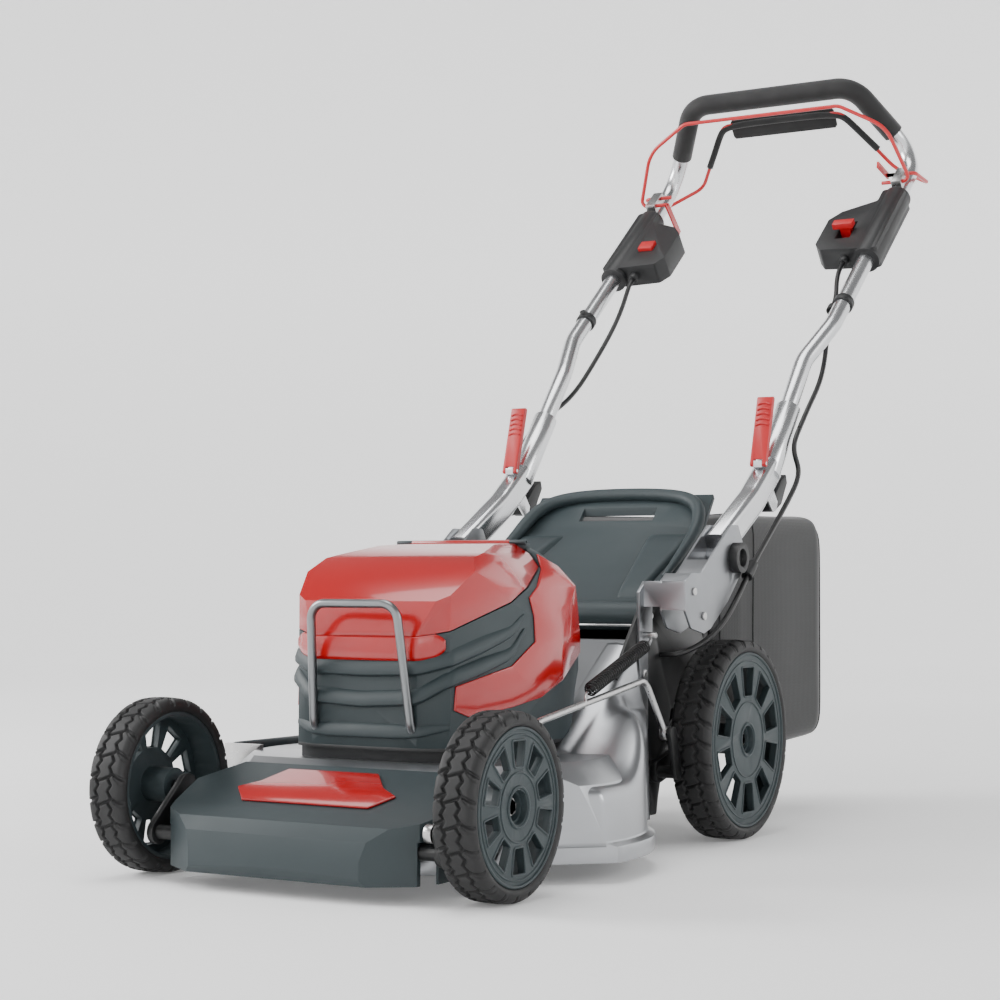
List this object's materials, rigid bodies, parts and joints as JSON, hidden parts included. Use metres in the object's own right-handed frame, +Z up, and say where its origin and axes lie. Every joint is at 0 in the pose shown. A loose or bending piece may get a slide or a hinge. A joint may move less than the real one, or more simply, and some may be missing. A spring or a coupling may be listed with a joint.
{
  "type": "walk-behind lawn mower",
  "caption": "Cordless walk-behind rotary mower with a steel deck, red battery hood, folding telescopic handle, bails, four wheels and a rear grass bag.",
  "frame": {"origin": "on the ground in the centre plane, midway between the nose and the back of the handle", "axes": "+Z up, the nose points along -Y, +X is the operator's left"},
  "size_m": [0.558, 1.4531, 1.1435],
  "materials": {
    "red_gloss": "glossy moulded red plastic",
    "grey_plastic": "fine-grained grey-green moulded plastic",
    "black_plastic": "fine-grained black moulded plastic",
    "deck_steel": "silver powder coat on pressed steel",
    "black_steel": "black powder coat on pressed steel",
    "red_steel": "red powder coat on bent wire",
    "tube_metal": "smooth clear-anodised tube",
    "bracket_metal": "satin aluminium sheet",
    "bright_steel": "zinc-plated steel",
    "blade_steel": "ground spring steel with a dark coat",
    "motor_metal": "cast aluminium, bead blasted",
    "tyre_rubber": "solid black tyre rubber",
    "soft_rubber": "matt black foam rubber",
    "cable_jacket": "smooth black cable jacket",
    "bag_fabric": "black woven polyester",
    "battery_plastic": "dark grey moulded battery case"
  },
  "bodies": {
    "chassis": {"deck": "deck_steel", "rear_chassis": "black_steel", "front_bumper": "grey_plastic", "bumper_badge": "red_gloss", "front_guard": "black_steel", "hood_body": "grey_plastic", "hood_base": "black_plastic", "side_panels": "red_gloss", "motor_can": "motor_metal", "battery_cradle": "black_plastic", "motor_controller": "motor_metal", "adjuster_bearings": "black_plastic", "flap_hinge_rod": "bright_steel", "side_cover_rod": "bright_steel", "handle_brackets": "bracket_metal", "bracket_bolts": "bright_steel", "fold_knobs": "black_plastic", "assist_spring": "black_steel", "spring_anchor": "bright_steel", "lower_cables": "cable_jacket"},
    "cutter": {"motor_rotor": "bright_steel", "blade_hub": "motor_metal", "blade": "blade_steel", "blade_bolt": "bright_steel"},
    "lid": {"battery_lid": "red_gloss"},
    "battery": {"battery_pack": "battery_plastic"},
    "eject_button": {"battery_button": "red_gloss"},
    "rear_axle": {"rear_crank": "black_steel", "height_lever_knob": "black_plastic", "drive_gearbox": "black_plastic"},
    "front_axle": {"front_crank": "black_steel"},
    "link_rod": {"height_link_rod": "bright_steel"},
    "front_left_wheel": {"front_left_tyre": "tyre_rubber", "front_left_rim": "grey_plastic"},
    "front_right_wheel": {"front_right_tyre": "tyre_rubber", "front_right_rim": "grey_plastic"},
    "rear_left_wheel": {"rear_left_tyre": "tyre_rubber", "rear_left_rim": "grey_plastic"},
    "rear_right_wheel": {"rear_right_tyre": "tyre_rubber", "rear_right_rim": "grey_plastic"},
    "flap": {"rear_flap": "grey_plastic"},
    "side_cover": {"side_discharge_cover": "grey_plastic"},
    "grass_bag": {"bag_cloth": "bag_fabric", "bag_frame": "black_plastic"},
    "lower_handle": {"lower_handle_arms": "tube_metal", "clamp_sleeves": "tube_metal"},
    "upper_handle": {"upper_handle_tube": "tube_metal", "hand_grip": "soft_rubber", "switch_housings": "black_plastic", "bail_brackets": "bright_steel", "cable_clips": "black_plastic", "upper_cables": "cable_jacket"},
    "cam_left": {"cam_lever_left": "red_gloss"},
    "cam_right": {"cam_lever_right": "red_gloss"},
    "trigger_left": {"fold_trigger_left": "black_plastic"},
    "trigger_right": {"fold_trigger_right": "black_plastic"},
    "presence_bail": {"presence_bail": "red_steel"},
    "drive_bail": {"drive_bail": "red_steel"},
    "start_button": {"start_button": "red_gloss"},
    "speed_lever": {"speed_lever": "red_gloss"}
  },
  "joints": [
    {"name": "height_adjust", "type": "hinge", "parent": "chassis", "child": "rear_axle", "pos_m": [0, -0.116, 0.096], "axis": [-1, 0, 0], "range_deg": [0, 20.3], "deforming": ["assist_spring"]},
    {"name": "front_adjust", "type": "hinge", "parent": "chassis", "child": "front_axle", "pos_m": [0, -0.666, 0.053], "axis": [-1, 0, 0], "range_deg": [0, 45.83]},
    {"name": "link_swing", "type": "hinge", "parent": "rear_axle", "child": "link_rod", "pos_m": [0.18, -0.13, 0.145], "axis": [-1, 0, 0], "range_deg": [-20.4, 0]},
    {"name": "blade_spin", "type": "hinge", "parent": "chassis", "child": "cutter", "pos_m": [0, -0.394, 0.06], "axis": [0, 0, 1], "continuous": true},
    {"name": "lid_hinge", "type": "hinge", "parent": "chassis", "child": "lid", "pos_m": [0, -0.328, 0.382], "axis": [-1, 0, 0], "range_deg": [0, 70]},
    {"name": "battery_lift", "type": "slide", "parent": "chassis", "child": "battery", "axis": [0, 0, 1], "range_m": [0, 0.01]},
    {"name": "eject_press", "type": "slide", "parent": "battery", "child": "eject_button", "axis": [0, 0, -1], "range_m": [0, 0.003], "stiffness_N_per_m": 400},
    {"name": "side_cover_hinge", "type": "hinge", "parent": "chassis", "child": "side_cover", "pos_m": [-0.236, -0.385, 0.132], "axis": [0, 1, 0], "range_deg": [0, 60], "stiffness_Nm_per_rad": 0.25, "springref_deg": -34.38},
    {"name": "flap_hinge", "type": "hinge", "parent": "chassis", "child": "flap", "pos_m": [0, -0.111, 0.292], "axis": [1, 0, 0], "range_deg": [0, 60], "stiffness_Nm_per_rad": 0.6, "springref_deg": -34.38},
    {"name": "bag_slide", "type": "slide", "parent": "chassis", "child": "grass_bag", "axis": [0, 1, 0], "range_m": [0, 0.3]},
    {"name": "handle_fold", "type": "hinge", "parent": "chassis", "child": "lower_handle", "pos_m": [0, 0.006, 0.367], "axis": [1, 0, 0], "range_deg": [0, 120], "deforming": ["lower_cables"]},
    {"name": "handle_extend", "type": "slide", "parent": "lower_handle", "child": "upper_handle", "axis": [0, 0.6157, 0.788], "range_m": [-0.06, 0], "deforming": ["upper_cables"]},
    {"name": "cam_left_hinge", "type": "hinge", "parent": "lower_handle", "child": "cam_left", "pos_m": [0.196, 0.126, 0.497], "axis": [1, 0, 0], "range_deg": [0, 80]},
    {"name": "cam_right_hinge", "type": "hinge", "parent": "lower_handle", "child": "cam_right", "pos_m": [-0.196, 0.126, 0.497], "axis": [1, 0, 0], "range_deg": [0, 80]},
    {"name": "trigger_left_hinge", "type": "hinge", "parent": "lower_handle", "child": "trigger_left", "pos_m": [0.196, 0.154, 0.441], "axis": [1, 0, 0], "range_deg": [0, 6], "stiffness_Nm_per_rad": 0.5, "springref_deg": -11.46},
    {"name": "trigger_right_hinge", "type": "hinge", "parent": "lower_handle", "child": "trigger_right", "pos_m": [-0.196, 0.154, 0.441], "axis": [1, 0, 0], "range_deg": [0, 6], "stiffness_Nm_per_rad": 0.5, "springref_deg": -11.46},
    {"name": "presence_bail_hinge", "type": "hinge", "parent": "upper_handle", "child": "presence_bail", "pos_m": [0, 0.62763, 0.96727], "axis": [-1, 0, 0], "range_deg": [0, 25], "stiffness_Nm_per_rad": 1.2, "springref_deg": -28.65},
    {"name": "drive_bail_hinge", "type": "hinge", "parent": "upper_handle", "child": "drive_bail", "pos_m": [0, 0.64606, 0.98265], "axis": [1, 0, 0], "range_deg": [0, 12], "stiffness_Nm_per_rad": 2, "springref_deg": -28.65},
    {"name": "start_press", "type": "slide", "parent": "upper_handle", "child": "start_button", "axis": [0, 0.6408, -0.7677], "range_m": [0, 0.003], "stiffness_N_per_m": 400},
    {"name": "speed_lever_hinge", "type": "hinge", "parent": "upper_handle", "child": "speed_lever", "pos_m": [0.169, 0.53527, 0.86725], "axis": [1, 0, 0], "range_deg": [-18, 18]},
    {"name": "front_left_spin", "type": "hinge", "parent": "front_axle", "child": "front_left_wheel", "pos_m": [0.2274, -0.616, 0.1], "axis": [1, 0, 0], "continuous": true},
    {"name": "front_right_spin", "type": "hinge", "parent": "front_axle", "child": "front_right_wheel", "pos_m": [-0.2274, -0.616, 0.1], "axis": [1, 0, 0], "continuous": true},
    {"name": "rear_left_spin", "type": "hinge", "parent": "rear_axle", "child": "rear_left_wheel", "pos_m": [0.2003, 0.022, 0.13], "axis": [1, 0, 0], "continuous": true},
    {"name": "rear_right_spin", "type": "hinge", "parent": "rear_axle", "child": "rear_right_wheel", "pos_m": [-0.2003, 0.022, 0.13], "axis": [1, 0, 0], "continuous": true}
  ],
  "couplings": [
    {"joint": "front_adjust", "follows": "height_adjust", "ratio": 2.2527},
    {"joint": "link_swing", "follows": "height_adjust", "ratio": -1}
  ]
}
